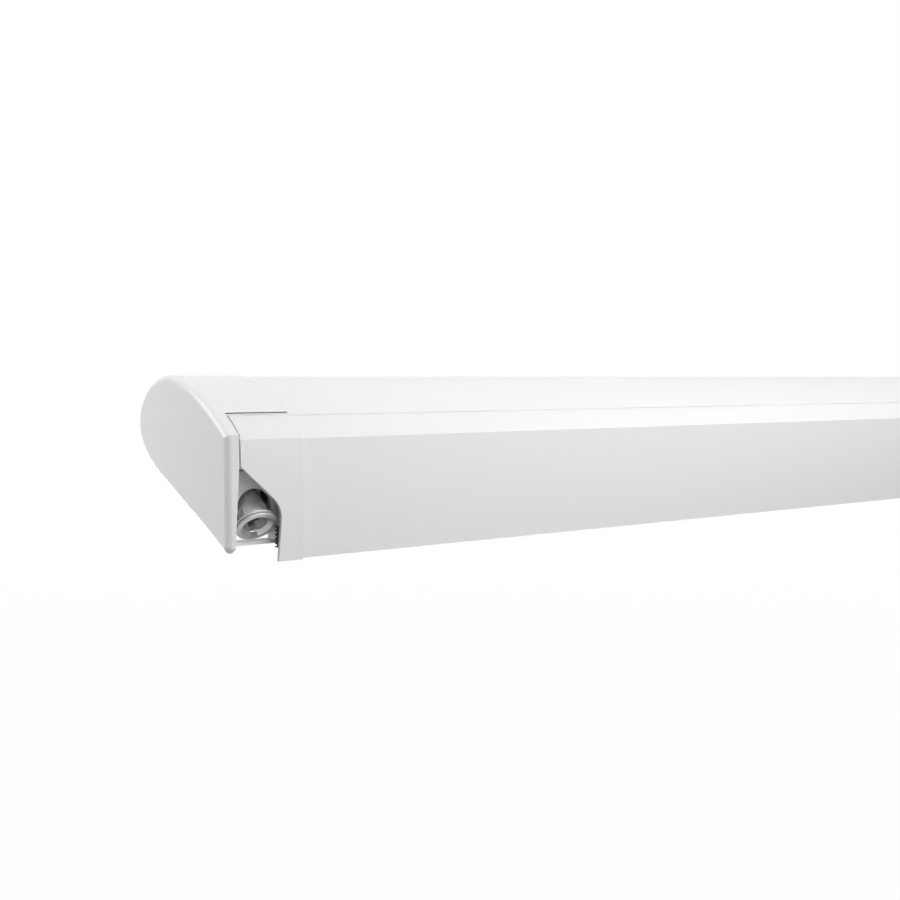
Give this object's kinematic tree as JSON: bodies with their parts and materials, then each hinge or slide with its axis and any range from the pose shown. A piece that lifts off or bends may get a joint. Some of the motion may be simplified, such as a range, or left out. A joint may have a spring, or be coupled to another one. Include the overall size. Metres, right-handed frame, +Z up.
{
  "type": "roll out awning",
  "caption": "Closed cassette awning with a wound canopy, a lead rail on folding arms, support legs and a crank-driven worm gear.",
  "frame": {"origin": "middle of the flat mounting land on the back of the cassette", "axes": "+X along the awning away from the crank end, +Y to the vehicle, +Z up"},
  "size_m": [2.6, 0.182, 0.1392],
  "materials": {
    "white_metal": "white satin powder coat",
    "white_plastic": "smooth",
    "grey_plastic": "fine matt",
    "bell_plastic": "fine matt",
    "black_rubber": "matt",
    "mill_aluminium": "satin",
    "cast_alloy": "white satin powder coat",
    "steel": "zinc plated",
    "brass_bush": "plain",
    "canopy_cloth": "coated woven",
    "keder_cord": "smooth"
  },
  "bodies": {
    "cassette": {"cassette_housing": "white_metal", "cassette_endcap_left": "white_plastic", "cassette_endcap_right": "white_plastic", "gearbox_case": "cast_alloy", "gearbox_cover": "grey_plastic", "swivel_pin": "steel", "roller_bush": "brass_bush", "bearing_boss": "white_plastic", "shoulder_bracket_left": "cast_alloy", "shoulder_bracket_right": "cast_alloy", "shoulder_pin_left": "steel", "shoulder_pin_right": "steel"},
    "roller": {"roller_tube": "mill_aluminium", "roller_plug_left": "cast_alloy", "roller_plug_right": "cast_alloy", "worm_wheel": "brass_bush", "canopy_roll": "canopy_cloth"},
    "canopy": {"canopy_fabric": "canopy_cloth"},
    "worm": {"worm_shaft": "steel"},
    "crank_swivel": {"crank_yoke": "steel"},
    "bell": {"crank_bell": "bell_plastic"},
    "lead_rail_frame": {"lead_rail": "white_metal", "lead_rail_cap_left": "white_plastic", "lead_rail_cap_right": "white_plastic", "canopy_keder": "keder_cord", "wrist_bracket_left": "cast_alloy", "wrist_bracket_right": "cast_alloy", "wrist_pin_left": "steel", "wrist_pin_right": "steel", "leg_bracket_left": "cast_alloy", "leg_bracket_right": "cast_alloy", "leg_pin_left": "steel", "leg_pin_right": "steel", "rail_buffer_left": "black_rubber", "rail_buffer_right": "black_rubber"},
    "upper_arm_left": {"upper_arm_left": "white_metal", "shoulder_knuckle_left": "cast_alloy", "elbow_fork_left": "cast_alloy", "elbow_pin_left": "steel"},
    "forearm_left": {"forearm_left": "white_metal", "elbow_eye_left": "cast_alloy", "wrist_knuckle_left": "cast_alloy"},
    "leg_left": {"leg_hinge_left": "cast_alloy", "leg_outer_left": "mill_aluminium"},
    "leg_extension_left": {"leg_inner_left": "mill_aluminium", "leg_foot_left": "grey_plastic"},
    "upper_arm_right": {"upper_arm_right": "white_metal", "shoulder_knuckle_right": "cast_alloy", "elbow_fork_right": "cast_alloy", "elbow_pin_right": "steel"},
    "forearm_right": {"forearm_right": "white_metal", "elbow_eye_right": "cast_alloy", "wrist_knuckle_right": "cast_alloy"},
    "leg_right": {"leg_hinge_right": "cast_alloy", "leg_outer_right": "mill_aluminium"},
    "leg_extension_right": {"leg_inner_right": "mill_aluminium", "leg_foot_right": "grey_plastic"}
  },
  "joints": [
    {"name": "shoulder_left", "type": "hinge", "parent": "cassette", "child": "upper_arm_left", "pos_m": [-1.18, -0.09487, -0.02743], "axis": [0, 0.225, -0.9744], "range_deg": [0, 66]},
    {"name": "elbow_left", "type": "hinge", "parent": "upper_arm_left", "child": "forearm_left", "pos_m": [-0.08, -0.109, -0.03069], "axis": [0, 0.225, -0.9744], "range_deg": [-132, 0]},
    {"name": "wrist_left", "type": "hinge", "parent": "forearm_left", "child": "lead_rail_frame", "pos_m": [-1.18, -0.12313, -0.03395], "axis": [0, 0.225, -0.9744], "range_deg": [0, 66]},
    {"name": "shoulder_right", "type": "hinge", "parent": "cassette", "child": "upper_arm_right", "pos_m": [1.18, -0.09487, -0.02743], "axis": [0, 0.225, -0.9744], "range_deg": [-66, 0]},
    {"name": "elbow_right", "type": "hinge", "parent": "upper_arm_right", "child": "forearm_right", "pos_m": [0.08, -0.109, -0.03069], "axis": [0, 0.225, -0.9744], "range_deg": [0, 132]},
    {"name": "roller_spin", "type": "hinge", "parent": "cassette", "child": "roller", "pos_m": [0, -0.05, -0.0005], "axis": [1, 0, 0], "range_deg": [0, 3960]},
    {"name": "canopy_run", "type": "slide", "parent": "cassette", "child": "canopy", "axis": [0, -0.9744, -0.225], "range_m": [0, 1.99259], "deforming": ["canopy_fabric"]},
    {"name": "worm_spin", "type": "hinge", "parent": "cassette", "child": "worm", "pos_m": [-1.2704, -0.13625, -0.04673], "axis": [0, 0.9728, 0.2315], "range_deg": [-51480, 0]},
    {"name": "crank_tilt", "type": "hinge", "parent": "cassette", "child": "crank_swivel", "pos_m": [-1.2704, -0.13625, -0.04673], "axis": [1, 0, 0], "range_deg": [-12, 5]},
    {"name": "crank_spin", "type": "hinge", "parent": "crank_swivel", "child": "bell", "pos_m": [-1.2704, -0.13625, -0.04673], "axis": [0, -0.6691, -0.7431], "range_deg": [0, 51480]},
    {"name": "leg_fold_left", "type": "hinge", "parent": "lead_rail_frame", "child": "leg_left", "pos_m": [-1.205, -0.15575, -0.07599], "axis": [0, 1, 0], "range_deg": [0, 90]},
    {"name": "leg_extend_left", "type": "slide", "parent": "leg_left", "child": "leg_extension_left", "axis": [1, 0, 0], "range_m": [0, 0.9]},
    {"name": "leg_fold_right", "type": "hinge", "parent": "lead_rail_frame", "child": "leg_right", "pos_m": [1.205, -0.15575, -0.07599], "axis": [0, -1, 0], "range_deg": [0, 90]},
    {"name": "leg_extend_right", "type": "slide", "parent": "leg_right", "child": "leg_extension_right", "axis": [-1, 0, 0], "range_m": [0, 0.9]}
  ],
  "couplings": [
    {"joint": "elbow_left", "follows": "shoulder_left", "ratio": -2},
    {"joint": "wrist_left", "follows": "shoulder_left", "ratio": 1},
    {"joint": "shoulder_right", "follows": "shoulder_left", "ratio": -1},
    {"joint": "elbow_right", "follows": "shoulder_left", "ratio": 2},
    {"joint": "roller_spin", "follows": "shoulder_left", "ratio": 60},
    {"joint": "canopy_run", "follows": "shoulder_left", "m_per_rad": 1.7298},
    {"joint": "worm_spin", "follows": "shoulder_left", "ratio": -780},
    {"joint": "crank_spin", "follows": "shoulder_left", "ratio": 780},
    {"joint": "leg_extend_left", "follows": "leg_fold_left", "m_per_rad": 0.57296},
    {"joint": "leg_extend_right", "follows": "leg_fold_right", "m_per_rad": 0.57296}
  ]
}
